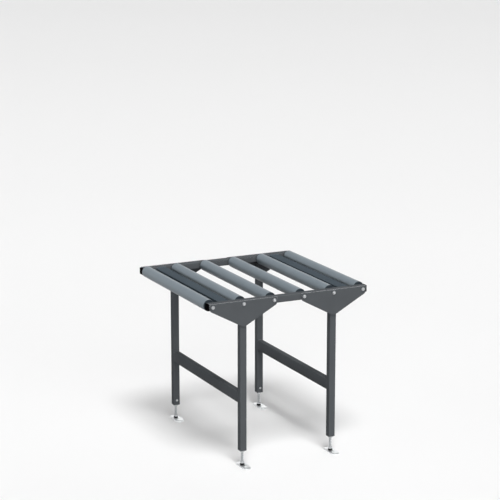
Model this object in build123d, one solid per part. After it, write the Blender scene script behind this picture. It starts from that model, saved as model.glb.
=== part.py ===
from build123d import *

import os

# A gravity roller table on two welded leg frames with screw-adjusted feet. Sizes are in millimetres.
# X runs along the side rails, Y along the rollers and Z up from the floor. The front is the -Y side.
# The shapes are drawn about the middle of the table, and each is moved as it is saved, so that the
# origin is on the floor below the middle of the whole table with its foot plates.

# Rollers
table_height = 750.0
roller_count = 6
roller_pitch = 144.0
roller_diameter = 50.0
roller_wall = 2.8
roller_end_gap = 5.0

# Moulded housings in the roller ends
housing_rim = 3.0
housing_depth = 19.0
housing_shoulder = 4.0
housing_edge = 0.8
housing_wall = 2.4
housing_ribs = 8
housing_rib_thickness = 1.6
housing_snap = 0.3
housing_snap_width = 1.0
housing_dish_depth = 1.6
housing_dish_draft = 0.8
housing_dish_margin = 4.0
housing_lip = 3.0

# Ball bearings
bearing_diameter = 28.0
bearing_width = 8.0
race_diameter = 20.0

# Fixed axles, their spacers and their end screws
axle_diameter = 12.0
spacer_diameter = 16.0
screw_diameter = 8.0
screw_engagement = 18.0
tapping_allowance = 5.0
screw_head_diameter = 14.0
screw_head_height = 4.4
screw_head_edge = 1.6
washer_diameter = 16.0
washer_thickness = 1.6

# Side rails and their end caps
rail_gap = 680.0
rail_size = 30.0
rail_wall = 2.0
rail_end_margin = 15.0
cap_thickness = 7.0
cap_edge = 2.5
cap_wall = 2.0
cap_plug_length = 8.0
cap_fins = 2
cap_fin_thickness = 1.2
cap_fin_height = 1.4

# Cross members between the rails, lying flat, and crossbars between the legs, standing on edge
cross_member_width = 50.0
cross_member_height = 25.0
cross_member_wall = 2.0
crossbar_width = 25.0
crossbar_height = 50.0
crossbar_wall = 2.0
crossbar_top = 330.0

# Gusset plates: each holds three axles and is deepest at its leg
gusset_rollers = 3
gusset_thickness = 5.0
gusset_end_margin = 13.0
gusset_end_depth = 32.0
gusset_depth = 117.0
gusset_corner = 16.0
gusset_tip = 20.0

# Legs, with a threaded insert and a locking screw at the bottom of each
leg_size = 30.0
leg_wall = 2.0
leg_bottom = 70.0
insert_height = 44.0
lock_screw_diameter = 6.0
lock_screw_head_diameter = 11.0
lock_screw_head_height = 3.3
lock_screw_head_edge = 1.2
lock_screw_rise = 22.0

# Levelling feet: a turning stud, its lock nut, a sleeve round its journal and the plate on the floor
stud_diameter = 12.0
stud_length = 100.0
stud_end_edge = 1.5
stud_hex_flats = 17.0
stud_hex_height = 9.0
journal_diameter = 10.0
rivet_diameter = 14.0
rivet_thickness = 1.5
rivet_lift = 0.7
rivet_play = 0.3
nut_flats = 19.0
nut_height = 7.0
sleeve_diameter = 20.0
sleeve_height = 6.0
plate_length = 100.0
plate_width = 40.0
plate_thickness = 5.0
plate_edge = 0.8
stud_to_plate_rear = 38.0
anchor_hole_diameter = 10.0
stud_to_anchor_hole = 27.0

# Corners of the square tube, and the gaps, each on one side, between pieces that fit each other
tube_corner = 3.0
least_inner_corner = 0.5
plug_clearance = 0.2
fixed_fit = 0.05
running_fit = 0.05
loose_fit = 0.5
tip_gap = 0.3

# Heights
axle_height = table_height - roller_diameter / 2
rail_top = axle_height + rail_size / 2
rail_bottom = axle_height - rail_size / 2
sleeve_top = plate_thickness + sleeve_height
hex_top = sleeve_top + stud_hex_height

# Places along the rails: each leg stands below the second roller from its end
roller_x = [(index - (roller_count - 1) / 2) * roller_pitch for index in range(roller_count)]
rail_length = (roller_count - 1) * roller_pitch + 2 * rail_end_margin
leg_x = {"left": roller_x[1], "right": roller_x[-2]}
cross_member_x = {"left": sum(roller_x[:2]) / 2, "right": sum(roller_x[-2:]) / 2}

# Places across the table, from its middle
rail_inner = rail_gap / 2
rail_middle = rail_inner + rail_size / 2
rail_outer = rail_inner + rail_size
gusset_outer = rail_outer + gusset_thickness
leg_middle = rail_outer - leg_size / 2
leg_inner = rail_outer - leg_size
roller_end = rail_inner - roller_end_gap

# The foot plates reach further to the front, so the middle of the whole table is off the rails' middle
head_reach = gusset_outer + washer_thickness + screw_head_height
front_reach = max(head_reach, leg_middle + plate_length - stud_to_plate_rear)
rear_reach = max(head_reach, leg_middle + stud_to_plate_rear)
origin_shift = (front_reach - rear_reach) / 2

screw_hole = screw_diameter + 2 * loose_fit
stud_bore = stud_diameter + 2 * running_fit
journal_bore = journal_diameter + 2 * running_fit


def inner_corner(wall):
    """The inner corner radius of a tube with this wall."""
    return max(tube_corner - wall, least_inner_corner)


def tube_section(width, height, wall):
    """The section of a rectangular steel tube."""
    inside = RectangleRounded(width - 2 * wall, height - 2 * wall, inner_corner(wall))
    return RectangleRounded(width, height, tube_corner) - inside


def plug_section(size, wall, inset=0):
    """The section of a plug that fits inside a square tube, or of its part that is further in."""
    side = size - 2 * wall - 2 * plug_clearance - 2 * inset
    return RectangleRounded(side, side, inner_corner(wall))


def ring(outer, bore, start, stop):
    """A round sleeve about the Y axis between two distances along it. A bore of 0 makes a rod."""
    section = Rectangle((outer - bore) / 2, stop - start)
    return revolve(Pos((outer + bore) / 4, (start + stop) / 2) * section, Axis.Y)


def hexagon(flats):
    """A hexagon, given across its flats."""
    return RegularPolygon(flats / 2, 6, major_radius=False)


def rear(solid):
    """The same piece on the rear side of the table."""
    return mirror(solid, Plane.XZ)


def both_sides(solid):
    """A piece at the front and the same piece at the rear."""
    return [solid, rear(solid)]


def save(name, *solids):
    """Writes one sub-part, moved to the table's origin."""
    export_step(Pos(0, origin_shift, 0) * Compound(solids), f"parts/{name}.step")


# Frame


def side_rail():
    """The front rail, with a hole through both walls for each axle screw."""
    rail = extrude(Plane.YZ * tube_section(rail_size, rail_size, rail_wall), rail_length / 2, both=True)
    hole = ring(screw_hole, 0, -rail_size, rail_size)
    rail -= [Pos(x, 0, 0) * hole for x in roller_x]
    return Pos(0, -rail_middle, axle_height) * rail


def rail_cap():
    """The cap in the right end of the front rail: a rounded head and a hollow plug with fins round it."""
    head = extrude(Plane.YZ * RectangleRounded(rail_size, rail_size, tube_corner), cap_thickness)
    head = fillet(head.faces().sort_by(Axis.X)[-1].edges(), cap_edge)
    core = extrude(Plane.YZ * plug_section(rail_size, rail_wall, cap_fin_height), -cap_plug_length)
    fin = extrude(Plane.YZ * plug_section(rail_size, rail_wall), cap_fin_thickness)
    fins = [Pos(-cap_plug_length * (index + 1) / cap_fins) * fin for index in range(cap_fins)]
    hollow_depth = cap_plug_length + cap_thickness - cap_wall
    hollow = extrude(Plane.YZ * plug_section(rail_size, rail_wall, cap_fin_height + cap_wall), hollow_depth)
    cap = head + core + fins - Pos(-cap_plug_length) * hollow
    return Pos(rail_length / 2, -rail_middle, axle_height) * cap


def cross_member(x):
    """A flat tube between the rails, flush with their undersides."""
    section = tube_section(cross_member_width, cross_member_height, cross_member_wall)
    member = extrude(Plane.XZ * section, rail_inner, both=True)
    return Pos(x, 0, rail_bottom + cross_member_height / 2) * member


def gusset(x):
    """A front gusset plate, drawn about its middle axle, with its edges sloping down to the leg."""
    half_length = roller_pitch + gusset_end_margin
    top = rail_top - axle_height
    outline = Polygon(
        (-half_length, top),
        (-half_length, top - gusset_end_depth),
        (0, top - gusset_depth),
        (half_length, top - gusset_end_depth),
        (half_length, top),
        align=None,
    )
    outline = fillet(outline.vertices().sort_by(Axis.Y)[0], gusset_tip)
    ends = outline.vertices().group_by(Axis.X)
    outline = fillet([end.sort_by(Axis.Y)[0] for end in (ends[0], ends[-1])], gusset_corner)
    steps = [index - gusset_rollers // 2 for index in range(gusset_rollers)]
    outline -= [Pos(step * roller_pitch, 0) * Circle(screw_hole / 2) for step in steps]
    plate = extrude(Plane.XZ * outline, gusset_thickness)
    return Pos(x, -rail_outer, axle_height) * plate


def leg(x):
    """A front leg, from above the foot to the underside of the rail, with its locking screw's hole."""
    tube = extrude(tube_section(leg_size, leg_size, leg_wall), rail_bottom - leg_bottom)
    hole = ring(lock_screw_diameter + 2 * loose_fit, 0, 0, leg_size)
    return Pos(x, -leg_middle, leg_bottom) * (tube - Pos(0, 0, lock_screw_rise) * hole)


def crossbar(x):
    """A tube on edge between the front and rear legs."""
    section = tube_section(crossbar_width, crossbar_height, crossbar_wall)
    bar = extrude(Plane.XZ * section, leg_inner, both=True)
    return Pos(x, 0, crossbar_top - crossbar_height / 2) * bar


def leg_insert(x):
    """The threaded block in the bottom of a front leg, with a cross hole for the locking screw."""
    block = extrude(plug_section(leg_size, leg_wall), insert_height)
    block -= extrude(Circle(stud_bore / 2), insert_height)
    block -= Pos(0, 0, lock_screw_rise) * ring(lock_screw_diameter + 2 * fixed_fit, 0, 0, leg_size)
    return Pos(x, -leg_middle, leg_bottom) * block


def lock_screw(x):
    """The screw through the inner face of a front leg that holds the stud still."""
    seat = leg_size / 2
    shank = ring(lock_screw_diameter, 0, stud_diameter / 2 + tip_gap, seat)
    head = ring(lock_screw_head_diameter, 0, seat, seat + lock_screw_head_height)
    head = chamfer(head.edges().group_by(Axis.Y)[-1], lock_screw_head_edge)
    return Pos(x, -leg_middle, leg_bottom + lock_screw_rise) * (shank + head)


def lock_nut(x):
    """The nut that is tight against the bottom of a front leg."""
    nut = extrude(hexagon(nut_flats) - Circle(stud_bore / 2), nut_height)
    return Pos(x, -leg_middle, leg_bottom - nut_height) * nut


# Axles and rollers, each drawn at its place along the Y axis


def axle():
    """A round bar between the rails, with a tapped hole in each end."""
    tapping_end = -rail_inner + screw_engagement + tapping_allowance
    tapping = ring(screw_diameter + 2 * fixed_fit, 0, -rail_inner, tapping_end)
    return ring(axle_diameter, 0, -rail_inner, rail_inner) - both_sides(tapping)


def screw_seat(index):
    """How far out the front screw of this roller seats: on a gusset plate, or on the rail between them."""
    on_gusset = index < gusset_rollers or index >= roller_count - gusset_rollers
    return gusset_outer if on_gusset else rail_outer


def axle_screw(seat):
    """A front axle screw, from its head outside to its end in the axle."""
    under_head = -seat - washer_thickness
    shank = ring(screw_diameter, 0, under_head, -rail_inner + screw_engagement)
    head = ring(screw_head_diameter, 0, under_head - screw_head_height, under_head)
    head = chamfer(head.edges().group_by(Axis.Y)[0], screw_head_edge)
    return shank + head


def washer(seat):
    """The washer under the head of a front axle screw."""
    return ring(washer_diameter, screw_diameter + 2 * fixed_fit, -seat - washer_thickness, -seat)


def spacer():
    """The sleeve on the axle between the front rail and the bearing's inner ring."""
    return ring(spacer_diameter, axle_diameter + 2 * fixed_fit, -rail_inner, -roller_end + housing_shoulder)


def inner_ring():
    """The inner ring of the front bearing, held on the axle."""
    outer_face = -roller_end + housing_shoulder
    return ring(race_diameter, axle_diameter + 2 * fixed_fit, outer_face, outer_face + bearing_width)


def outer_ring():
    """The outer ring of the front bearing, held in the housing."""
    outer_face = -roller_end + housing_shoulder
    return ring(bearing_diameter, race_diameter + 2 * running_fit, outer_face, outer_face + bearing_width)


def housing_dish():
    """The shallow dish in a housing's outer face, between its rim and the lip round the spacer."""
    inner = spacer_diameter / 2 + loose_fit + housing_lip
    outer = roller_diameter / 2 - housing_dish_margin
    section = Polygon(
        (inner, 0),
        (inner + housing_dish_draft, housing_dish_depth),
        (outer - housing_dish_draft, housing_dish_depth),
        (outer, 0),
        align=None,
    )
    return revolve(section, Axis.Y)


def housing_pocket(plug_diameter, seat_diameter, hub_end):
    """The cored-out space inside a housing, round the bearing's hub and the ribs that carry it."""
    side = Rectangle(plug_diameter / 2, housing_rib_thickness, align=(Align.MIN, Align.CENTER))
    rib = Pos(0, housing_shoulder) * extrude(Plane.XZ * side, housing_shoulder - hub_end)
    ribs = [Rot(0, 360 * index / housing_ribs, 0) * rib for index in range(housing_ribs)]
    hub = ring(seat_diameter + 2 * housing_wall, 0, housing_shoulder, hub_end)
    space = ring(plug_diameter - 2 * housing_wall, 0, housing_shoulder, housing_depth)
    return space - hub - ribs


def housing():
    """The front end housing: a rim over the tube's end and a ribbed plug inside it that holds the bearing.

    The bearing is snapped in behind a lip. The outer face closes it off, but for the spacer."""
    plug_diameter = roller_diameter - 2 * roller_wall - 2 * fixed_fit
    seat_diameter = bearing_diameter + 2 * fixed_fit
    seat_end = housing_shoulder + bearing_width
    hub_end = seat_end + housing_snap_width
    rim = ring(roller_diameter, 0, 0, housing_rim)
    rim = fillet(rim.edges().group_by(Axis.Y)[0], housing_edge)
    plug = ring(plug_diameter, 0, housing_rim, housing_depth)
    plug = chamfer(plug.edges().group_by(Axis.Y)[-1], housing_edge)
    body = rim + plug - housing_pocket(plug_diameter, seat_diameter, hub_end) - housing_dish()
    body -= ring(spacer_diameter + 2 * loose_fit, 0, 0, housing_shoulder)
    body -= ring(race_diameter + 2 * loose_fit, 0, housing_shoulder - loose_fit, housing_shoulder)
    body -= ring(seat_diameter, 0, housing_shoulder, seat_end)
    body -= ring(seat_diameter - 2 * housing_snap, 0, seat_end, hub_end)
    return Pos(0, -roller_end, 0) * body


def roller_tube():
    """The tube of a roller, between the rims of its two housings."""
    end = roller_end - housing_rim
    return ring(roller_diameter, roller_diameter - 2 * roller_wall, -end, end)


# Feet


def foot_stud(x, y):
    """The stud: a riveted end under the plate, a journal, a hexagon to turn it by and the threaded rod."""
    rivet_top = rivet_lift + rivet_thickness
    rivet = Pos(0, 0, rivet_lift) * extrude(Circle(rivet_diameter / 2), rivet_thickness)
    journal = Pos(0, 0, rivet_top) * extrude(Circle(journal_diameter / 2), sleeve_top - rivet_top)
    hexagon_part = Pos(0, 0, sleeve_top) * extrude(hexagon(stud_hex_flats), stud_hex_height)
    rod = Pos(0, 0, hex_top) * extrude(Circle(stud_diameter / 2), stud_length)
    rod = chamfer(rod.edges().group_by(Axis.Z)[-1], stud_end_edge)
    return Pos(x, y, 0) * (rivet + journal + hexagon_part + rod)


def foot_sleeve(x, y):
    """The dark sleeve round the journal, on which the hexagon rests."""
    section = Circle(sleeve_diameter / 2) - Circle(journal_bore / 2)
    return Pos(x, y, plate_thickness) * extrude(section, sleeve_height)


def foot_plate(x, y):
    """The plate on the floor, long towards the front, with the anchor hole there."""
    middle = stud_to_plate_rear - plate_length / 2
    plate = extrude(Pos(0, middle) * SlotOverall(plate_length, plate_width, rotation=90), plate_thickness)
    plate = chamfer(plate.faces().sort_by(Axis.Z)[-1].edges(), plate_edge)
    plate -= extrude(Pos(0, -stud_to_anchor_hole) * Circle(anchor_hole_diameter / 2), plate_thickness)
    plate -= extrude(Circle(journal_bore / 2), plate_thickness)
    recess_depth = rivet_lift + rivet_thickness + rivet_play
    plate -= extrude(Circle(rivet_diameter / 2 + loose_fit), recess_depth)
    return Pos(x, y, 0) * plate


os.makedirs("parts", exist_ok=True)

front_rail = side_rail()
save("side_rail_front", front_rail)
save("side_rail_rear", rear(front_rail))

right_caps = both_sides(rail_cap())
save("rail_end_caps", *right_caps, *[mirror(cap, Plane.YZ) for cap in right_caps])

for end in ("left", "right"):
    save(f"cross_member_{end}", cross_member(cross_member_x[end]))
    save(f"crossbar_{end}", crossbar(leg_x[end]))
    front_gusset = gusset(leg_x[end])
    save(f"gusset_front_{end}", front_gusset)
    save(f"gusset_rear_{end}", rear(front_gusset))
    front_leg = leg(leg_x[end])
    save(f"leg_front_{end}", front_leg)
    save(f"leg_rear_{end}", rear(front_leg))
    for side, y in (("front", -leg_middle), ("rear", leg_middle)):
        save(f"foot_stud_{side}_{end}", foot_stud(leg_x[end], y))
        save(f"foot_sleeve_{side}_{end}", foot_sleeve(leg_x[end], y))
        save(f"foot_plate_{side}_{end}", foot_plate(leg_x[end], y))

save("leg_inserts", *[piece for x in leg_x.values() for piece in both_sides(leg_insert(x))])
save("lock_nuts", *[piece for x in leg_x.values() for piece in both_sides(lock_nut(x))])
save("foot_lock_screws", *[piece for x in leg_x.values() for piece in both_sides(lock_screw(x))])

axle_places = [Pos(x, 0, axle_height) for x in roller_x]
screws = [place * axle_screw(screw_seat(index)) for index, place in enumerate(axle_places)]
washers = [place * washer(screw_seat(index)) for index, place in enumerate(axle_places)]
save("axle_screws_front", *screws)
save("axle_screws_rear", *[rear(screw) for screw in screws])
save("axle_washers", *[piece for front_washer in washers for piece in both_sides(front_washer)])
save("axle_spacers", *[place * piece for place in axle_places for piece in both_sides(spacer())])
save("bearing_inner_rings", *[place * piece for place in axle_places for piece in both_sides(inner_ring())])

for number, place in enumerate(axle_places, start=1):
    save(f"roller_axle_{number}", place * axle())
    save(f"roller_tube_{number}", place * roller_tube())
    save(f"roller_housings_{number}", *[place * piece for piece in both_sides(housing())])
    save(f"bearing_outer_rings_{number}", *[place * piece for piece in both_sides(outer_ring())])
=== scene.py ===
import math

import bmesh
import bpy
from mathutils import Matrix, Vector


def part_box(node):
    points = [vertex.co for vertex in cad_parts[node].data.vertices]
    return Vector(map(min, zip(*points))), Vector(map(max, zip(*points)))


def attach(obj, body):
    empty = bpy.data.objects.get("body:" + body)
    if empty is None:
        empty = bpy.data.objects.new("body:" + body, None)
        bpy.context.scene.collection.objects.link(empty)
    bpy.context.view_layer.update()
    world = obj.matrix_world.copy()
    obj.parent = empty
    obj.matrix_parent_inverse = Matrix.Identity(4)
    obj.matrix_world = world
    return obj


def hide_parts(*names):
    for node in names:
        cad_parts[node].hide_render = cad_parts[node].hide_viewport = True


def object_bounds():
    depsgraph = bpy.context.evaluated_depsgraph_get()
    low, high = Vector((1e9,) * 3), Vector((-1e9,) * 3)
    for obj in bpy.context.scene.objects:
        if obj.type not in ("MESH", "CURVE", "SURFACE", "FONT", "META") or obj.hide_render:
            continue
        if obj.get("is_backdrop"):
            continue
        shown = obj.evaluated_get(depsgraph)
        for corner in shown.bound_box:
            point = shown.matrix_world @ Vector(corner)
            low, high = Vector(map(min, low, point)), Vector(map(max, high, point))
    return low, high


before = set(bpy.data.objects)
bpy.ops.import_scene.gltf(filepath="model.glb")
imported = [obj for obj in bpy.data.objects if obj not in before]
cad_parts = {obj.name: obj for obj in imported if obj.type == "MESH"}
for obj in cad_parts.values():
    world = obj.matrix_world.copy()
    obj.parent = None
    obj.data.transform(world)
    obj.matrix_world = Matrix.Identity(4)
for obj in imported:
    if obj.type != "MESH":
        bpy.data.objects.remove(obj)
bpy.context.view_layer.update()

# Welded steel tubes: two side rails, four legs and two crossbars of square and rectangular tube.
# They are blasted and powder coated in dark grey polyester, which cures to a fine orange peel, lies a
# little unevenly over long faces, and is thinner and paler where it is drawn off the edges.
MM = 0.001


def linear(code):
    """The linear colour, with an alpha of 1, of an sRGB hex code."""
    parts = [int(code[start:start + 2], 16) / 255 for start in (1, 3, 5)]
    return tuple(p / 12.92 if p <= 0.04045 else ((p + 0.055) / 1.055) ** 2.4 for p in parts) + (1.0,)


def add(tree, kind, inputs=(), **settings):
    """Adds a node with its settings, and gives each input a value or another node's output."""
    made = tree.nodes.new(kind)
    for name, value in settings.items():
        setattr(made, name, value)
    for name, value in dict(inputs).items():
        if isinstance(value, bpy.types.NodeSocket):
            tree.links.new(value, made.inputs[name])
        else:
            made.inputs[name].default_value = value
    return made


def blank_material(name):
    """A material with nothing in it, and its node tree."""
    material = bpy.data.materials.new(name)
    material.use_nodes = True
    material.node_tree.nodes.clear()
    return material, material.node_tree


# Heights at which the painted highlight on the top edges begins and becomes full.
HIGHLIGHT_BEGINS, HIGHLIGHT_FULL = 720 * MM, 735 * MM


def powder_coat(name, colour, thin_colour, edge_highlight_colour):
    """Polyester powder coat: a soft, even face, slightly lighter edges, and a painted highlight on the top
    edges.
    """
    material, tree = blank_material(name)
    place = add(tree, "ShaderNodeTexCoord").outputs["Object"]
    # The coat's thickness drifts over about a hand's width, and dust lies in specks of a few millimetres.
    drift = add(tree, "ShaderNodeTexNoise", {"Vector": place, "Scale": 1 / (90 * MM), "Detail": 2.0})
    dust = add(tree, "ShaderNodeTexNoise", {"Vector": place, "Scale": 1 / (5 * MM), "Detail": 5.0})
    # Orange peel has waves of about a millimetre.
    peel = add(tree, "ShaderNodeTexNoise", {"Vector": place, "Scale": 1 / (1.3 * MM), "Detail": 1.0})
    rounded = add(tree, "ShaderNodeBevel", {"Radius": 2.0 * MM}, samples=4).outputs["Normal"]
    flat = add(tree, "ShaderNodeNewGeometry").outputs["Normal"]
    # An edge is where the rounded normal leaves the flat one.
    match = add(tree, "ShaderNodeVectorMath", {0: rounded, 1: flat},
                operation="DOT_PRODUCT").outputs["Value"]
    edge = add(tree, "ShaderNodeMapRange",
               {"Value": match, "From Min": 0.99, "From Max": 0.85}).outputs["Result"]
    bare = add(tree, "ShaderNodeMath", {0: edge, 1: dust.outputs["Fac"]},
               operation="MULTIPLY").outputs["Value"]
    # A painted highlight lies on the edges close below the rollers' tops, in place of the light that the
    # rails' rounded top edges catch.
    height = add(tree, "ShaderNodeSeparateXYZ", {"Vector": place}).outputs["Z"]
    reach = add(tree, "ShaderNodeMapRange",
                {"Value": height, "From Min": HIGHLIGHT_BEGINS, "From Max": HIGHLIGHT_FULL}).outputs["Result"]
    painted_highlight = add(tree, "ShaderNodeMath", {0: edge, 1: reach}, operation="MULTIPLY").outputs["Value"]
    shade = add(tree, "ShaderNodeMapRange", {"Value": drift.outputs["Fac"], "To Min": 0.90, "To Max": 1.10})
    coat = add(tree, "ShaderNodeVectorMath", {0: linear(colour)[:3], "Scale": shade.outputs["Result"]},
               operation="SCALE").outputs["Vector"]
    mixed = add(tree, "ShaderNodeMix", {"Factor": bare, "A": coat, "B": linear(thin_colour)},
                data_type="RGBA").outputs["Result"]
    # The pale colour mixed in here is painted highlight, not wear.
    coat_with_highlight = add(tree, "ShaderNodeMix", {"Factor": painted_highlight, "A": mixed, "B": linear(edge_highlight_colour)},
               data_type="RGBA")
    gloss = add(tree, "ShaderNodeMapRange", {"Value": dust.outputs["Fac"], "To Min": 0.68, "To Max": 0.82})
    bump = add(tree, "ShaderNodeBump", {"Height": peel.outputs["Fac"], "Normal": rounded,
                                        "Strength": 0.35, "Distance": 0.15 * MM})
    shader = add(tree, "ShaderNodeBsdfPrincipled", {
        "Base Color": coat_with_highlight.outputs["Result"], "Roughness": gloss.outputs["Result"],
        "Specular IOR Level": 0.003, "Normal": bump.outputs["Normal"]})
    add(tree, "ShaderNodeOutputMaterial", {"Surface": shader.outputs["BSDF"]})
    return material


def dress(material, *nodes):
    """Gives CAD nodes the material of their real finish."""
    for node in nodes:
        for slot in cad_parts[node].material_slots:
            slot.material = material


SIDES, ENDS = ("front", "rear"), ("left", "right")
CORNERS = [f"{side}_{end}" for side in SIDES for end in ENDS]
# The last colour is a painted highlight for the top edges of the rails and gussets.
grey_powder = powder_coat("dark_grey_polyester_powder", "#54575A", "#6C6F72", "#C8CBCE")
dress(grey_powder, *[f"side_rail_{side}" for side in SIDES], *[f"leg_{corner}" for corner in CORNERS],
      *[f"crossbar_{end}" for end in ENDS])

# Gusset plates: 5 mm sheet, laser cut and welded flat against the outer faces of rail and leg, then
# coated with them. Their faces are plain.
dress(grey_powder, *[f"gusset_{corner}" for corner in CORNERS])

# Cross members: flat tube that ties the rails together, between the first two and the last two
# rollers, coated in a bluer slate grey than the rest of the frame.
# The last colour is a painted highlight for the members' top edges.
slate_powder = powder_coat("slate_polyester_powder", "#4B545B", "#616A71", "#7E878E")
dress(slate_powder, *[f"cross_member_{end}" for end in ENDS])

# Weld beads: short fillet welds where tubes and plates meet, laid by hand in overlapping scales and
# coated over with the frame, so that they show only as a soft ripple in the corners.
SCALE_STEP = 1.0 * MM
# A bead is this wide at its tapered ends, and wider by 1 / TAPER along its run, where every second
# scale is a little lower.
BEAD, TAPER, LOW_SCALE = 2.6 * MM, 0.6, 0.86
# Beads stop short of the ends of a face, where the tubes' corners are rounded.
WIDE_MARGIN, NARROW_MARGIN = 4 * MM, 3 * MM
# The gusset's beads lie in the groove between it and the rounded corners of the tubes behind it.
GROOVE_DEPTH = 1.2 * MM
SEAM_TOP, SEAM_BOTTOM = 28 * MM, 62 * MM
STITCHES, STITCH_HALF = (58 * MM, 112 * MM), 13 * MM


def put(name, data):
    """Makes an object of a mesh, a lamp or a camera, and puts it in the scene."""
    made = bpy.data.objects.new(name, data)
    bpy.context.scene.collection.objects.link(made)
    return made


def piece(name, shape, material, body, slot, *replaced, sharp=32):
    """Makes an object of a finished shape, rides it on a body, and hides the nodes it replaces."""
    bmesh.ops.recalc_face_normals(shape, faces=shape.faces)
    for face in shape.faces:
        face.smooth = True
    for edge in shape.edges:
        edge.smooth = edge.calc_face_angle(0) < math.radians(sharp)
    mesh = bpy.data.meshes.new(name)
    shape.to_mesh(mesh)
    shape.free()
    mesh.materials.append(material)
    made = put(name, mesh)
    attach(made, body)
    if replaced:
        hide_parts(*replaced)


def lay_bead(shape, start, end, along_one, along_other):
    """Lays a fillet weld from start to end in the corner of two faces, each given by a direction in it."""
    start, end = Vector(start), Vector(end)
    one, other = Vector(along_one) * BEAD, Vector(along_other) * BEAD
    points = (-0.25 * (one + other), one, 0.62 * (one + other), other)
    front = shape.faces.new([shape.verts.new(start + point) for point in points])
    steps = max(4, round((end - start).length / SCALE_STEP))
    swell = TAPER
    for step in range(1, steps + 1):
        wanted = TAPER if step == steps else 1.0 if step % 2 else LOW_SCALE
        grown = bmesh.ops.extrude_face_region(shape, geom=[front, *front.edges])["geom"]
        front = next(item for item in grown if isinstance(item, bmesh.types.BMFace))
        bmesh.ops.translate(shape, verts=front.verts, vec=(end - start) / steps)
        here = start.lerp(end, step / steps)
        bmesh.ops.scale(shape, verts=front.verts, vec=[wanted / swell] * 3, space=Matrix.Translation(-here))
        swell = wanted


frame_beads = bmesh.new()
for corner in CORNERS:
    side, end = corner.split("_")
    inward = 1 if side == "front" else -1
    low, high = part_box(f"leg_{corner}")
    rail_bottom = high.z
    outer = low.y if side == "front" else high.y
    leg_x = (low.x + high.x) / 2
    for across, edge in ((-1, low.x), (1, high.x)):
        # Leg to the underside of the rail, leg to gusset, and two stitches from gusset to rail.
        lay_bead(frame_beads, (edge, low.y + WIDE_MARGIN, rail_bottom),
                 (edge, high.y - WIDE_MARGIN, rail_bottom), (across, 0, 0), (0, 0, -1))
        groove = outer + inward * GROOVE_DEPTH
        seam_x = edge - across * MM
        lay_bead(frame_beads, (seam_x, groove, rail_bottom - SEAM_BOTTOM),
                 (seam_x, groove, rail_bottom - SEAM_TOP), (across, -inward * 0.4, 0), (0, inward, 0))
        for reach in STITCHES:
            stitch, above = leg_x + across * reach, rail_bottom + MM
            lay_bead(frame_beads, (stitch - STITCH_HALF, groove, above),
                     (stitch + STITCH_HALF, groove, above), (0, -inward * 0.4, -1), (0, inward, -0.4))
    # Crossbar to the inner face of the leg, all round.
    low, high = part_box(f"crossbar_{end}")
    face = low.y if side == "front" else high.y
    for across, edge in ((-1, low.x), (1, high.x)):
        lay_bead(frame_beads, (edge, face, low.z + NARROW_MARGIN), (edge, face, high.z - NARROW_MARGIN),
                 (across * 0.8, -inward * 0.3, 0), (0, inward, 0))
    for upward, edge in ((-1, low.z), (1, high.z)):
        lay_bead(frame_beads, (low.x + NARROW_MARGIN, face, edge), (high.x - NARROW_MARGIN, face, edge),
                 (0, 0, upward), (0, inward, 0))
piece("frame_weld_beads", frame_beads, grey_powder, "frame", "frame_paint", sharp=70)

member_beads = bmesh.new()
for end in ENDS:
    low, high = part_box(f"cross_member_{end}")
    for inward, face in ((1, low.y), (-1, high.y)):
        for across, edge in ((-1, low.x), (1, high.x)):
            lay_bead(member_beads, (edge, face, low.z + WIDE_MARGIN), (edge, face, high.z - NARROW_MARGIN),
                     (across, 0, 0), (0, inward, 0))
        lay_bead(member_beads, (low.x + WIDE_MARGIN, face, high.z), (high.x - WIDE_MARGIN, face, high.z),
                 (0, 0, 0.8), (0, inward, 0))
piece("cross_member_weld_beads", member_beads, slate_powder, "frame", "cross_member_paint", sharp=70)

# Rail end caps: black polyethylene plugs, moulded in a spark-eroded tool and knocked into the rails.
# The eroded grain breaks up the reflections, so that they look deep black.
def moulded(name, colour, roughness, grain, shine):
    """Injection-moulded plastic: an even colour with faint flow clouds, over a fine eroded grain."""
    material, tree = blank_material(name)
    place = add(tree, "ShaderNodeTexCoord").outputs["Object"]
    flow = add(tree, "ShaderNodeTexNoise",
               {"Vector": place, "Scale": 1 / (16 * MM), "Detail": 4.0}).outputs["Fac"]
    pits = add(tree, "ShaderNodeTexVoronoi", {"Vector": place, "Scale": 1 / grain}).outputs["Distance"]
    shade = add(tree, "ShaderNodeMapRange", {"Value": flow, "To Min": 0.82, "To Max": 1.18})
    tinted = add(tree, "ShaderNodeVectorMath", {0: linear(colour)[:3], "Scale": shade.outputs["Result"]},
                 operation="SCALE").outputs["Vector"]
    gloss = add(tree, "ShaderNodeMapRange",
                {"Value": flow, "To Min": roughness - 0.06, "To Max": roughness + 0.06})
    rounded = add(tree, "ShaderNodeBevel", {"Radius": 0.5 * MM}, samples=4).outputs["Normal"]
    bump = add(tree, "ShaderNodeBump",
               {"Height": pits, "Normal": rounded, "Strength": 0.2, "Distance": 0.08 * MM})
    shader = add(tree, "ShaderNodeBsdfPrincipled", {
        "Base Color": tinted, "Roughness": gloss.outputs["Result"], "Specular IOR Level": shine,
        "Normal": bump.outputs["Normal"]})
    add(tree, "ShaderNodeOutputMaterial", {"Surface": shader.outputs["BSDF"]})
    return material


black_polyethylene = moulded("black_polyethylene", "#040405", 0.68, 0.9 * MM, 0.005)
dress(black_polyethylene, "rail_end_caps")

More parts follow.
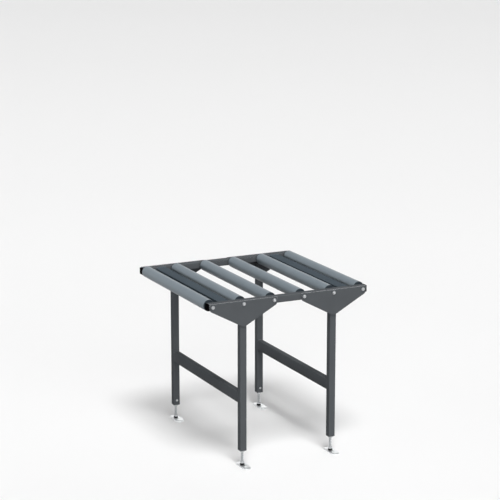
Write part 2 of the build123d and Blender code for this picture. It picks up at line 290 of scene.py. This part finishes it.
# Roller tubes: extruded PVC of 50 mm, coloured grey-blue through and through. The die leaves it satin,
# with faint lines along it, and boxes rub dull patches round it.
def extruded_pvc(name, colour, edge_highlight_colour):
    """Extruded PVC tube along Y. It gives the eye a soft sheen that runs the length of the tube."""
    material, tree = blank_material(name)
    place = add(tree, "ShaderNodeTexCoord").outputs["Object"]
    # The die lines are about a millimetre apart and as long as the tube.
    drawn = add(tree, "ShaderNodeMapping", {"Vector": place, "Scale": (1.0, 0.01, 1.0)}).outputs["Vector"]
    lines = add(tree, "ShaderNodeTexNoise",
                {"Vector": drawn, "Scale": 1 / (1.2 * MM), "Detail": 2.0}).outputs["Fac"]
    # Rubbed patches are some centimetres wide and reach well round the tube.
    round_it = add(tree, "ShaderNodeMapping", {"Vector": place, "Scale": (0.4, 1.0, 0.4)}).outputs["Vector"]
    rubs = add(tree, "ShaderNodeTexNoise", {"Vector": round_it, "Scale": 1 / (35 * MM), "Detail": 6.0,
                                            "Roughness": 0.6}).outputs["Fac"]
    dull = add(tree, "ShaderNodeMapRange",
               {"Value": rubs, "From Min": 0.45, "From Max": 0.8, "To Max": 0.3})
    mixed = add(tree, "ShaderNodeMix", {"Factor": dull.outputs["Result"], "A": linear(colour),
                                        "B": linear(edge_highlight_colour)}, data_type="RGBA")
    gloss = add(tree, "ShaderNodeMapRange", {"Value": rubs, "To Min": 0.42, "To Max": 0.54})
    bump = add(tree, "ShaderNodeBump", {"Height": lines, "Strength": 0.1, "Distance": 0.1 * MM})
    shader = add(tree, "ShaderNodeBsdfPrincipled", {
        "Base Color": mixed.outputs["Result"], "Roughness": gloss.outputs["Result"],
        "Specular IOR Level": 0.3, "Normal": bump.outputs["Normal"]})
    add(tree, "ShaderNodeOutputMaterial", {"Surface": shader.outputs["BSDF"]})
    return material


def turned(profile, steps):
    """A ring about the Y axis, turned from a closed outline of (radius, place along Y) in millimetres."""
    shape = bmesh.new()
    corners = [shape.verts.new((radius * MM, along * MM, 0)) for radius, along in profile]
    sides = [shape.edges.new((corners[index - 1], corners[index])) for index in range(len(corners))]
    bmesh.ops.spin(shape, geom=corners + sides, cent=(0, 0, 0), axis=(0, 1, 0), dvec=(0, 0, 0),
                   angle=2 * math.pi, steps=steps, use_merge=True)
    bmesh.ops.remove_doubles(shape, verts=shape.verts, dist=0.001 * MM)
    return shape


ROLLERS = range(1, 7)
TUBE_RADIUS, TUBE_WALL, TUBE_END = 25.0, 2.8, 332.0
CUT_EDGE = 0.3
grey_pvc = extruded_pvc("grey_blue_pvc", "#757F86", "#828C92")
for number in ROLLERS:
    low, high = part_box(f"roller_tube_{number}")
    inside = TUBE_RADIUS - TUBE_WALL
    tube = turned([(TUBE_RADIUS - CUT_EDGE, -TUBE_END), (TUBE_RADIUS, CUT_EDGE - TUBE_END),
                   (TUBE_RADIUS, TUBE_END - CUT_EDGE), (TUBE_RADIUS - CUT_EDGE, TUBE_END),
                   (inside + CUT_EDGE, TUBE_END), (inside, TUBE_END - CUT_EDGE),
                   (inside, CUT_EDGE - TUBE_END), (inside + CUT_EDGE, -TUBE_END)], steps=96)
    bmesh.ops.translate(tube, verts=tube.verts, vec=(low + high) / 2)
    piece(f"pvc_tube_{number}", tube, grey_pvc, f"roller_{number}", "roller_plastic",
          f"roller_tube_{number}")

# Roller end housings: dark slate polyamide, moulded with a dished face, a rim over the cut edge of the
# tube, and a ribbed plug that carries the bearing.
slate_polyamide = moulded("slate_polyamide", "#30383E", 0.5, 0.8 * MM, 0.15)
# Radius and depth behind the face, in millimetres: the lip round the spacer and the dish, the rim, the
# outside of the plug, the pocket with the ribs, and the bearing's seat behind its snap lip.
HOUSING = [
    (8.5, 0.3), (8.8, 0.0), (11.3, 0.0), (11.6, 0.2), (12.2, 1.4), (12.5, 1.6), (20.0, 1.6), (20.3, 1.4),
    (20.9, 0.2), (21.2, 0.0), (24.2, 0.0), (24.6, 0.11), (24.89, 0.4), (25.0, 0.8), (25.0, 3.0),
    (22.15, 3.0), (22.15, 18.2), (21.35, 19.0), (19.75, 19.0), (19.75, 4.0), (16.45, 4.0), (16.45, 13.0),
    (13.75, 13.0), (13.75, 12.0), (14.05, 12.0), (14.05, 4.0), (10.5, 4.0), (10.5, 3.5), (8.5, 3.5),
]
# A rib's size and middle, out from the axis, along it and across, in millimetres.
RIB_COUNT, RIB_SIZE, RIB_PLACE = 8, (3.6, 8.9, 1.6), (18.1, 8.5, 0.0)


def join(shape, part, move):
    """Adds a finished part to a shape that holds several, moved to its place."""
    part.transform(move)
    carried = bpy.data.meshes.new("carried")
    part.to_mesh(carried)
    part.free()
    shape.from_mesh(carried)
    bpy.data.meshes.remove(carried)


for number in ROLLERS:
    low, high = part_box(f"roller_housings_{number}")
    middle = (low + high) / 2
    pair = bmesh.new()
    for facing, face in ((1, low.y), (-1, high.y)):
        housing = turned(HOUSING, steps=80)
        for index in range(RIB_COUNT):
            rib = bmesh.ops.create_cube(housing, size=1.0)["verts"]
            bmesh.ops.scale(housing, verts=rib, vec=[side * MM for side in RIB_SIZE])
            bmesh.ops.translate(housing, verts=rib, vec=[reach * MM for reach in RIB_PLACE])
            turn = Matrix.Rotation(2 * math.pi * index / RIB_COUNT, 3, "Y")
            bmesh.ops.rotate(housing, verts=rib, cent=(0, 0, 0), matrix=turn)
        mirrored = Matrix.Diagonal((1, facing, 1, 1))
        join(pair, housing, Matrix.Translation((middle.x, face, middle.z)) @ mirrored)
    piece(f"end_housings_{number}", pair, slate_polyamide, f"roller_{number}", "housing_plastic",
          f"roller_housings_{number}")

# Axles, spacers and bearing rings: drawn bar and ground bearing steel, deep in the gap between roller
# and rail. Drawing leaves fine bright lines along the bar.
def steel(name, colour, roughness, grain=(1.0, 1.0, 1.0)):
    """Bare or plated steel: fine lines in the gloss, drawn out by the grain, and a slightly cloudy tone."""
    material, tree = blank_material(name)
    place = add(tree, "ShaderNodeTexCoord").outputs["Object"]
    stretched = add(tree, "ShaderNodeMapping", {"Vector": place, "Scale": grain}).outputs["Vector"]
    # Tool and drawing lines lie half a millimetre apart: finer ones wouldn't show.
    lines = add(tree, "ShaderNodeTexNoise",
                {"Vector": stretched, "Scale": 1 / (0.5 * MM), "Detail": 2.0}).outputs["Fac"]
    cloud = add(tree, "ShaderNodeTexNoise",
                {"Vector": place, "Scale": 1 / (8 * MM), "Detail": 4.0}).outputs["Fac"]
    shade = add(tree, "ShaderNodeMapRange", {"Value": cloud, "To Min": 0.86, "To Max": 1.06})
    tinted = add(tree, "ShaderNodeVectorMath", {0: linear(colour)[:3], "Scale": shade.outputs["Result"]},
                 operation="SCALE").outputs["Vector"]
    gloss = add(tree, "ShaderNodeMapRange",
                {"Value": lines, "To Min": roughness - 0.07, "To Max": roughness + 0.07})
    bump = add(tree, "ShaderNodeBump", {"Height": lines, "Strength": 0.1, "Distance": 0.04 * MM})
    shader = add(tree, "ShaderNodeBsdfPrincipled", {
        "Base Color": tinted, "Metallic": 1.0, "Roughness": gloss.outputs["Result"],
        "Normal": bump.outputs["Normal"]})
    add(tree, "ShaderNodeOutputMaterial", {"Surface": shader.outputs["BSDF"]})
    return material


drawn_steel = steel("drawn_steel_bar", "#A9ABAD", 0.36, grain=(1.0, 0.03, 1.0))
bearing_steel = steel("ground_bearing_steel", "#BDBFC0", 0.25)
dress(drawn_steel, "axle_spacers", *[f"roller_axle_{number}" for number in ROLLERS])
dress(bearing_steel, "bearing_inner_rings", *[f"bearing_outer_rings_{number}" for number in ROLLERS])

# Axle screws and washers: button-head screws with a hexagon socket, zinc plated and bright passivated,
# one into each end of each axle. The plating is a slightly milky mirror.
bright_zinc = steel("bright_zinc_plating", "#BCBEC0", 0.34)
AROUND = 48


def round_loop(shape, radius, height):
    """A circle of vertices about the Z axis, in millimetres."""
    made = bmesh.ops.create_circle(shape, segments=AROUND, radius=radius * MM)["verts"]
    bmesh.ops.translate(shape, verts=made, vec=(0, 0, height * MM))
    return made


def hexagon_loop(shape, flats, height, slope=0.0):
    """A hexagon of vertices, in millimetres across its flats. A slope lifts or drops its corners."""
    made = bmesh.ops.create_circle(shape, segments=AROUND, radius=flats / 2 * MM)["verts"]
    for vert in made:
        off_flat = math.atan2(vert.co.y, vert.co.x) % (math.pi / 3) - math.pi / 6
        vert.co.xy /= math.cos(off_flat)
        vert.co.z = height * MM + slope * (vert.co.xy.length - flats / 2 * MM)
    return made


def wall(shape, one, other):
    """Joins two loops of as many vertices with a band of faces."""
    for index in range(AROUND):
        shape.faces.new((one[index - 1], one[index], other[index], other[index - 1]))


def skin(shape, loops, ring=False):
    """Joins loops one after the other, and closes both ends, or joins the last to the first."""
    for one, other in zip(loops, loops[1:]):
        wall(shape, one, other)
    if ring:
        wall(shape, loops[-1], loops[0])
    else:
        shape.faces.new(loops[0][::-1])
        shape.faces.new(loops[-1])


def button_screw(head, rise, socket, depth, shank, length):
    """A button-head screw along Z: its head above zero with a hexagon socket in it, its shank below."""
    shape = bmesh.new()
    skin(shape, [
        hexagon_loop(shape, socket, rise - depth), hexagon_loop(shape, socket, rise - 0.25),
        round_loop(shape, socket * 0.66, rise), round_loop(shape, head * 0.34, rise * 0.975),
        round_loop(shape, head * 0.405, rise * 0.86), round_loop(shape, head * 0.455, rise * 0.62),
        round_loop(shape, head * 0.488, rise * 0.32), round_loop(shape, head / 2, rise * 0.1),
        round_loop(shape, head / 2 - 0.3, 0.0), round_loop(shape, shank / 2 + 0.3, 0.0),
        round_loop(shape, shank / 2, -0.3), round_loop(shape, shank / 2, 0.5 - length),
        round_loop(shape, shank / 2 - 0.5, -length)])
    return shape


# The screws' tips and the faces of the gusset plates under their washers, in millimetres from the
# middle of the rails, and the washers' thickness.
SCREW_TIP, ON_PLATE, WASHER = 322.0, 375.0, 1.6
UNDER_HEAD = ON_PLATE + WASHER
# Screws stop at any angle, so each socket stands this many degrees on from the last.
SCREW_TURN = 23
rails_middle = (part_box("side_rail_front")[0].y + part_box("side_rail_rear")[1].y) / 2
for side, outward in (("front", -1), ("rear", 1)):
    screws = bmesh.new()
    point_out = Matrix.Rotation(-outward * math.pi / 2, 4, "X")
    for number in ROLLERS:
        low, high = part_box(f"roller_axle_{number}")
        place = Matrix.Translation(((low.x + high.x) / 2, rails_middle + outward * UNDER_HEAD * MM,
                                    (low.z + high.z) / 2))
        turn = Matrix.Rotation(math.radians(SCREW_TURN * number), 4, "Z")
        screw = button_screw(head=14.0, rise=4.4, socket=5.0, depth=2.6, shank=8.0,
                             length=UNDER_HEAD - SCREW_TIP)
        join(screws, screw, place @ point_out @ turn)
    piece(f"button_screws_{side}", screws, bright_zinc, "frame", "zinc", f"axle_screws_{side}")
dress(bright_zinc, "axle_washers")

# Leg ends: a threaded steel insert in each leg, a zinc-plated lock nut tight under it, and a small
# button screw through the inner face of the leg that clamps the stud.
dress(drawn_steel, "leg_inserts")


def rounds(shape, profile):
    """Circles of vertices about the Z axis, one for each radius and height in millimetres."""
    return [round_loop(shape, radius, height) for radius, height in profile]


def nut_loops(shape, flats, bottom, top):
    """The four loops of a hexagon whose corners are turned off at both ends."""
    chamfer, crown, drop = math.tan(math.radians(30)), flats * 0.475, 0.3
    return [round_loop(shape, crown, bottom), hexagon_loop(shape, flats, bottom + drop, chamfer),
            hexagon_loop(shape, flats, top - drop, -chamfer), round_loop(shape, crown, top)]


NUT_FLATS, BORE, BORE_CHAMFER = 19.0, 6.05, 0.8
MOUTH = BORE + BORE_CHAMFER
# The nuts stop at any angle too, in degrees.
NUT_TURNS = {"front": 17, "rear": 41}
nuts, clamps = bmesh.new(), bmesh.new()
nut_low, nut_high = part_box("lock_nuts")
nut_height = (nut_high.z - nut_low.z) / MM
clamp_low, clamp_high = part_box("foot_lock_screws")
for corner in CORNERS:
    low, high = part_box(f"leg_{corner}")
    x, y = (low.x + high.x) / 2, (low.y + high.y) / 2
    side = corner.split("_")[0]
    inward, inner_face = (1, high.y) if side == "front" else (-1, low.y)
    nut = bmesh.new()
    skin(nut, nut_loops(nut, NUT_FLATS, 0.0, nut_height)
         + rounds(nut, [(MOUTH, nut_height), (BORE, nut_height - BORE_CHAMFER),
                        (BORE, BORE_CHAMFER), (MOUTH, 0.0)]), ring=True)
    turn = Matrix.Rotation(math.radians(NUT_TURNS[side]), 4, "Z")
    join(nuts, nut, Matrix.Translation((x, y, nut_low.z)) @ turn)
    clamp = button_screw(head=11.0, rise=3.3, socket=4.0, depth=2.0, shank=6.0, length=8.7)
    place = Matrix.Translation((x, inner_face, (clamp_low.z + clamp_high.z) / 2))
    point_in = Matrix.Rotation(-inward * math.pi / 2, 4, "X")
    join(clamps, clamp, place @ point_in)
piece("lock_nuts_m12", nuts, bright_zinc, "frame", "zinc", "lock_nuts")
piece("clamp_screws", clamps, bright_zinc, "frame", "zinc", "foot_lock_screws")

# Levelling studs: zinc-plated M12 studs with a rolled thread, a hexagon to turn them by, and a journal
# that is riveted over under the foot plate.
THREAD_PITCH, THREAD_STEPS, THREAD_START, THREAD_TURNS = 1.75, 24, 21.4, 55
# Radius and height above the floor, in millimetres, below the hexagon and in the thread's core.
RIVET_AND_JOURNAL = [(6.7, 0.7), (7.0, 1.0), (7.0, 2.2), (5.0, 2.2), (5.0, 11.0)]
HEX_FLATS, HEX_BOTTOM, HEX_TOP = 17.0, 11.0, 20.0
CORE = [(5.6, 20.0), (4.95, 21.0), (4.95, 119.4), (4.5, 120.0)]
RIDGE = [(4.85, -0.75), (6.0, -0.12), (6.0, 0.12), (4.85, 0.75)]


def stud_place(corner):
    """The point of the floor below a stud."""
    low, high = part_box(f"foot_stud_{corner}")
    return (low.x + high.x) / 2, (low.y + high.y) / 2, 0


zinc_thread = steel("zinc_plated_thread", "#C6C8CA", 0.28)
stud = bmesh.new()
skin(stud, rounds(stud, RIVET_AND_JOURNAL) + nut_loops(stud, HEX_FLATS, HEX_BOTTOM, HEX_TOP)
     + rounds(stud, CORE))
# The thread is one ridge wound round the core, which climbs by its pitch in each turn.
section = [stud.verts.new((radius * MM, 0, (THREAD_START + rise) * MM)) for radius, rise in RIDGE]
ridge = stud.faces.new(section)
bmesh.ops.spin(stud, geom=[ridge] + list(ridge.edges) + list(ridge.verts), cent=(0, 0, 0),
               axis=(0, 0, 1), dvec=(0, 0, THREAD_PITCH * MM / THREAD_STEPS),
               angle=2 * math.pi * THREAD_TURNS, steps=THREAD_STEPS * THREAD_TURNS, use_merge=False)
for corner in CORNERS:
    placed = stud.copy()
    bmesh.ops.translate(placed, verts=placed.verts, vec=stud_place(corner))
    piece(f"levelling_stud_{corner}", placed, zinc_thread, f"foot_stud_{corner}", "zinc",
          f"foot_stud_{corner}")
stud.free()

# Foot plates and sleeves: 5 mm steel plates with rounded ends and one anchor hole, blanked, tumbled and
# zinc plated, with a black moulded sleeve between each plate and the stud's hexagon.
PLATE_RADIUS, PLATE_HALF_RUN = 20.0, 30.0
STUD_TO_MIDDLE, STUD_TO_ANCHOR = 12.0, 27.0
# Inset from the plate's edge, or radius, and height above the floor, in millimetres.
RIM = [(0.4, 0.0), (0.0, 0.4), (0.0, 4.0), (0.12, 4.45), (0.45, 4.85), (0.9, 5.0)]
ANCHOR_HOLE = [(5.6, 5.0), (5.15, 4.85), (5.0, 4.4), (5.0, 0.4), (5.4, 0.0)]
STUD_HOLE = [(5.35, 5.0), (5.05, 4.7), (5.05, 2.5), (7.5, 2.5), (7.5, 0.0)]
SLEEVE = [(5.05, 5.0), (9.7, 5.0), (10.0, 5.3), (10.0, 8.6), (9.8, 9.2), (9.3, 9.7), (8.9, 10.2),
          (8.9, 10.75), (8.7, 10.95), (5.05, 10.95)]


def rounded_end_loop(shape, inset, height):
    """The plate's outline, in from its edge by an inset: two half circles joined by straight runs."""
    loop = round_loop(shape, PLATE_RADIUS - inset, height)
    bmesh.ops.rotate(shape, verts=loop, cent=(0, 0, 0), matrix=Matrix.Rotation(math.pi / AROUND, 3, "Z"))
    for sign in (1, -1):
        half = [vert for vert in loop if vert.co.y * sign > 0]
        bmesh.ops.translate(shape, verts=half, vec=(0, sign * PLATE_HALF_RUN * MM, 0))
    bmesh.ops.translate(shape, verts=loop, vec=(0, -STUD_TO_MIDDLE * MM, 0))
    return loop


def fill_face(shape, *loops):
    """Fills the flat face between an outline and its holes."""
    inside = [set(loop) for loop in loops]
    edges = {edge for members in inside for vert in members for edge in vert.link_edges
             if edge.other_vert(vert) in members}
    bmesh.ops.triangle_fill(shape, edges=list(edges), use_beauty=True)


plate_zinc = steel("tumbled_zinc_plating", "#E8EAEB", 0.34)
black_sleeve = moulded("black_moulded_sleeve", "#0C0C0D", 0.5, 0.8 * MM, 0.15)
for corner in CORNERS:
    plate = bmesh.new()
    rim = [rounded_end_loop(plate, inset, height) for inset, height in RIM]
    anchor = rounds(plate, ANCHOR_HOLE)
    for loop in anchor:
        bmesh.ops.translate(plate, verts=loop, vec=(0, -STUD_TO_ANCHOR * MM, 0))
    bore = rounds(plate, STUD_HOLE)
    for loops in (rim, anchor, bore):
        for one, other in zip(loops, loops[1:]):
            wall(plate, one, other)
    fill_face(plate, rim[-1], anchor[0], bore[0])
    fill_face(plate, rim[0], anchor[-1], bore[-1])
    bmesh.ops.translate(plate, verts=plate.verts, vec=stud_place(corner))
    piece(f"zinc_foot_plate_{corner}", plate, plate_zinc, f"foot_plate_{corner}", "zinc",
          f"foot_plate_{corner}")
    sleeve = bmesh.new()
    skin(sleeve, rounds(sleeve, SLEEVE), ring=True)
    bmesh.ops.translate(sleeve, verts=sleeve.verts, vec=stud_place(corner))
    piece(f"stud_sleeve_{corner}", sleeve, black_sleeve, f"foot_plate_{corner}", "sleeve_plastic",
          f"foot_sleeve_{corner}")

# Floor: a wide pale sheet that greys a little with distance. The camera and mirror-like surfaces see it
# pale, while the light that it throws back on the object is kept low, as a dull studio floor's is.
FLOOR_HALF = 80.0
# The floor's tones at distances in metres from the object, up to its reach, where it meets the horizon.
FLOOR_NEAR, HORIZON, FLOOR_REACH = "#FFFFFF", "#E4E4E4", 30.0
FLOOR_TONES = ((1.2, "#FCFCFC"), (2.4, "#FAFAFA"), (4.0, "#F9F9F9"), (6.0, "#F6F6F6"),
               (9.2, "#F3F3F3"), (14.0, "#EEEEEE"), (21.0, "#E9E9E9"))
# The lamps brighten the floor by a little over a tenth, which this takes back.
LIT_SHARE = 0.888


def studio_floor():
    """The floor as the camera and reflections see it, and a darker one for the light that it bounces."""
    material, tree = blank_material("pale_studio_floor")
    place = add(tree, "ShaderNodeTexCoord").outputs["Object"]
    away = add(tree, "ShaderNodeVectorMath", {0: place}, operation="LENGTH").outputs["Value"]
    share = add(tree, "ShaderNodeMapRange", {"Value": away, "From Max": FLOOR_REACH}).outputs["Result"]
    tone = add(tree, "ShaderNodeValToRGB", {"Fac": share})
    stops = tone.color_ramp.elements
    stops[0].position, stops[0].color = 0.0, linear(FLOOR_NEAR)
    stops[1].position, stops[1].color = 1.0, linear(HORIZON)
    for metres, code in FLOOR_TONES:
        stops.new(metres / FLOOR_REACH).color = linear(code)
    lit_tone = add(tree, "ShaderNodeVectorMath", {0: tone.outputs["Color"], "Scale": LIT_SHARE},
                   operation="SCALE")
    seen = add(tree, "ShaderNodeBsdfDiffuse", {"Color": lit_tone.outputs["Vector"]}).outputs["BSDF"]
    dull = add(tree, "ShaderNodeBsdfDiffuse", {"Color": linear("#4A4A4A")}).outputs["BSDF"]
    ray = add(tree, "ShaderNodeLightPath").outputs
    sharp = add(tree, "ShaderNodeMath", {0: ray["Is Camera Ray"], 1: ray["Is Glossy Ray"]},
                operation="MAXIMUM")
    shown = add(tree, "ShaderNodeMath", {0: sharp.outputs["Value"], 1: ray["Is Transmission Ray"]},
                operation="MAXIMUM").outputs["Value"]
    both = add(tree, "ShaderNodeMixShader", {0: shown, 1: dull, 2: seen})
    add(tree, "ShaderNodeOutputMaterial", {"Surface": both.outputs["Shader"]})
    return material


floor_shape = bmesh.new()
bmesh.ops.create_grid(floor_shape, x_segments=1, y_segments=1, size=FLOOR_HALF)
floor_mesh = bpy.data.meshes.new("floor")
floor_shape.to_mesh(floor_mesh)
floor_shape.free()
floor_mesh.materials.append(studio_floor())
floor = put("floor", floor_mesh)
floor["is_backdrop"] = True

# Light: a broad lamp high in front, a wide panel in front that is nearly as strong, weaker panels low at
# the left and behind, and a surround that is bright near the floor, like the pale walls of a studio,
# and dark overhead.
def soft_lamp(name, toward, strength, spread):
    """A lamp far off in a direction from the object, whose even light has a spread in degrees."""
    data = bpy.data.lights.new(name, "SUN")
    data.energy = strength
    data.angle = math.radians(spread)
    lamp = put(name, data)
    lamp.rotation_mode = "QUATERNION"
    lamp.rotation_quaternion = Vector(toward).to_track_quat("Z", "Y")


soft_lamp("high_softbox", (-0.11, -0.49, 1.0), 2.5, 21)
soft_lamp("front_panel", (-0.16, -1.0, 0.14), 2.45, 66)
soft_lamp("left_panel", (-1.0, 0.1, 0.04), 1.15, 40)
soft_lamp("rear_panel", (0.9, 0.55, 0.05), 1.6, 40)
soft_lamp("low_rear_panel", (0.43, 0.87, 0.26), 0.27, 40)

world = bpy.data.worlds.new("studio_walls")
bpy.context.scene.world = world
world.use_nodes = True
surround = world.node_tree
surround.nodes.clear()
direction = add(surround, "ShaderNodeTexCoord").outputs["Generated"]
upward = add(surround, "ShaderNodeSeparateXYZ", {"Vector": direction}).outputs["Z"]
# The walls are bright up to 15 degrees above the floor and fade to dark by 24 degrees.
glow = add(surround, "ShaderNodeMapRange", {"Value": upward, "From Min": 0.26, "From Max": 0.40,
                                            "To Min": 0.95, "To Max": 0.04},
           interpolation_type="SMOOTHSTEP").outputs["Result"]
walls = add(surround, "ShaderNodeBackground",
            {"Color": linear("#FFFFFF"), "Strength": glow}).outputs["Background"]
horizon = add(surround, "ShaderNodeBackground",
              {"Color": linear(HORIZON), "Strength": 1.0}).outputs["Background"]
camera_ray = add(surround, "ShaderNodeLightPath").outputs["Is Camera Ray"]
mixed_world = add(surround, "ShaderNodeMixShader", {0: camera_ray, 1: walls, 2: horizon})
add(surround, "ShaderNodeOutputWorld", {"Surface": mixed_world.outputs["Shader"]})

# Camera: a long lens from the front left, above the table, where the photograph was taken. It looks
# down by 13 degrees, with the whole table and a little floor in the picture.
camera_data = bpy.data.cameras.new("camera")
camera_data.sensor_width = 36.0
camera_data.lens = 127.7
camera_data.clip_end = 300.0
camera = put("camera", camera_data)
camera.location = (-3.3745, -6.8714, 2.6358)
camera.rotation_euler = (math.radians(90 - 13.0525), 0.0, math.radians(-26.086))
bpy.context.scene.camera = camera
bpy.context.scene.view_settings.view_transform = "Standard"

low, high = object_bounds()
